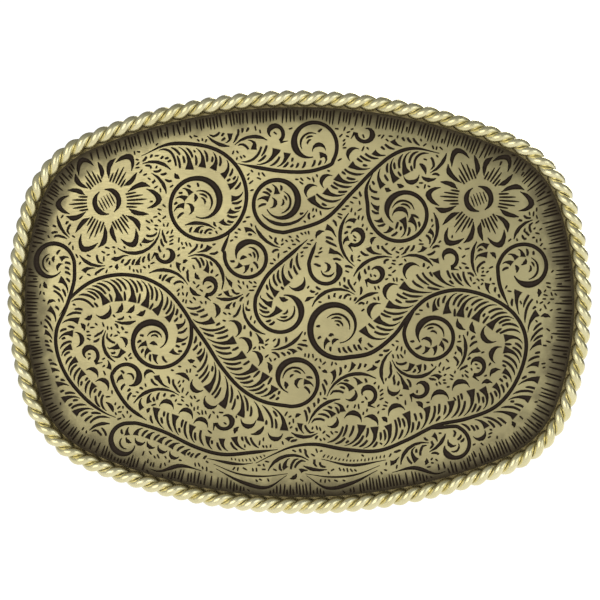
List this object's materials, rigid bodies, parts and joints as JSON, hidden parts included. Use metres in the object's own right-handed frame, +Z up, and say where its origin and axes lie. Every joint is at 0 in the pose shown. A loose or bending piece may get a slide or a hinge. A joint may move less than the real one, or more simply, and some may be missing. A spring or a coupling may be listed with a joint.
{
  "type": "belt buckle",
  "caption": "Oblong domed western belt buckle with a rope edge and engraved scrolls, a swinging strap loop and a hook on its back.",
  "frame": {"origin": "centre of the flat pad on the back plate, where the buckle lies against the belt", "axes": "+X along the belt towards the strap loop, +Z up as worn, +Y from the buckle to the wearer, so the face looks along -Y"},
  "size_m": [0.0948, 0.0152, 0.0687],
  "materials": {
    "face": "antiqued brass, bright worn crowns and dark patina in the cuts",
    "rope": "bright brass wire with dark patina between the strands",
    "back": "plain brass sheet, brushed and dulled",
    "fitting": "satin brass, rubbed bright at its edges",
    "rivet": "hammered brass",
    "pin": "drawn steel wire"
  },
  "bodies": {
    "buckle": {"face_plate": "face", "back_plate": "back", "rope_strand_a": "rope", "rope_strand_b": "rope", "hinge_bracket": "fitting", "bracket_rivet_upper": "rivet", "bracket_rivet_lower": "rivet", "hinge_pin": "pin", "hook_base": "fitting", "hook_peg": "fitting", "hook_rivet_upper": "rivet", "hook_rivet_lower": "rivet"},
    "loop": {"strap_loop": "fitting"}
  },
  "joints": [
    {"name": "loop_swing", "type": "hinge", "parent": "buckle", "child": "loop", "pos_m": [0.02, 0.0054, 0], "axis": [0, 0, 1], "range_deg": [-11, 190]}
  ]
}
